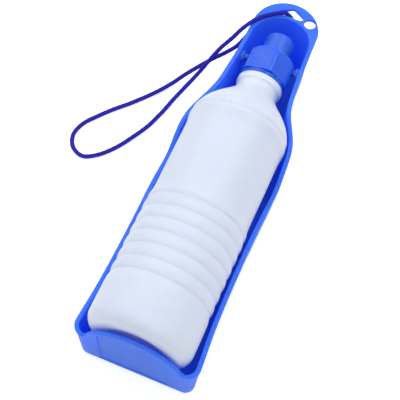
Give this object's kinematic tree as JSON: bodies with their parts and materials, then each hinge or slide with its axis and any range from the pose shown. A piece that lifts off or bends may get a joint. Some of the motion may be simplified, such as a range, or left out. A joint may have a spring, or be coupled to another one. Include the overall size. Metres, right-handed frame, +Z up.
{
  "type": "dog travel water bottle",
  "caption": "Dog travel water bottle: a soft ribbed squeeze bottle that lies in a long drinking tray and swings out of it on two pins in its cap, with a push-pull spout and a cord loop.",
  "frame": {"origin": "middle of the tray's flat underside", "axes": "+Z up when the tray lies on a table, +Y along the bottle from its base to the hanging tab, +X across the tray to the side of the hanging hole"},
  "size_m": [0.1503, 0.2714, 0.0695],
  "materials": {
    "drinking_tray": "light blue moulded polypropylene, glossy",
    "hanging_tab": "light blue moulded polypropylene, glossy, one moulding with the tray",
    "squeeze_bottle": "milky, slightly translucent soft polyethylene, satin",
    "screw_cap": "blue moulded polypropylene, glossy",
    "push_pull_spout": "blue moulded polyethylene, glossy",
    "sealing_gasket": "soft grey seal",
    "lanyard_cord": "woven cord, dark blue",
    "lanyard_knot": "woven cord, dark blue"
  },
  "bodies": {
    "tray": {"drinking_tray": "drinking_tray", "hanging_tab": "hanging_tab", "lanyard_cord": "lanyard_cord", "lanyard_knot": "lanyard_knot"},
    "cap": {"screw_cap": "screw_cap"},
    "spout": {"push_pull_spout": "push_pull_spout"},
    "seal": {"sealing_gasket": "sealing_gasket"},
    "bottle": {"squeeze_bottle": "squeeze_bottle"}
  },
  "joints": [
    {"name": "fold_out", "type": "hinge", "parent": "tray", "child": "cap", "pos_m": [0, 0.08575, 0.036], "axis": [-1, 0, 0], "range_deg": [0, 120]},
    {"name": "spout_pull", "type": "slide", "parent": "cap", "child": "spout", "axis": [0, 1, 0], "range_m": [0, 0.005]},
    {"name": "bottle_advance", "type": "slide", "parent": "cap", "child": "seal", "axis": [0, -1, 0], "range_m": [0, 0.0013]},
    {"name": "bottle_turn", "type": "hinge", "parent": "seal", "child": "bottle", "pos_m": [0, 0.06425, 0.036], "axis": [0, -1, 0], "range_deg": [0, 150]}
  ],
  "couplings": [
    {"joint": "bottle_advance", "follows": "bottle_turn", "m_per_rad": 0.000477}
  ]
}
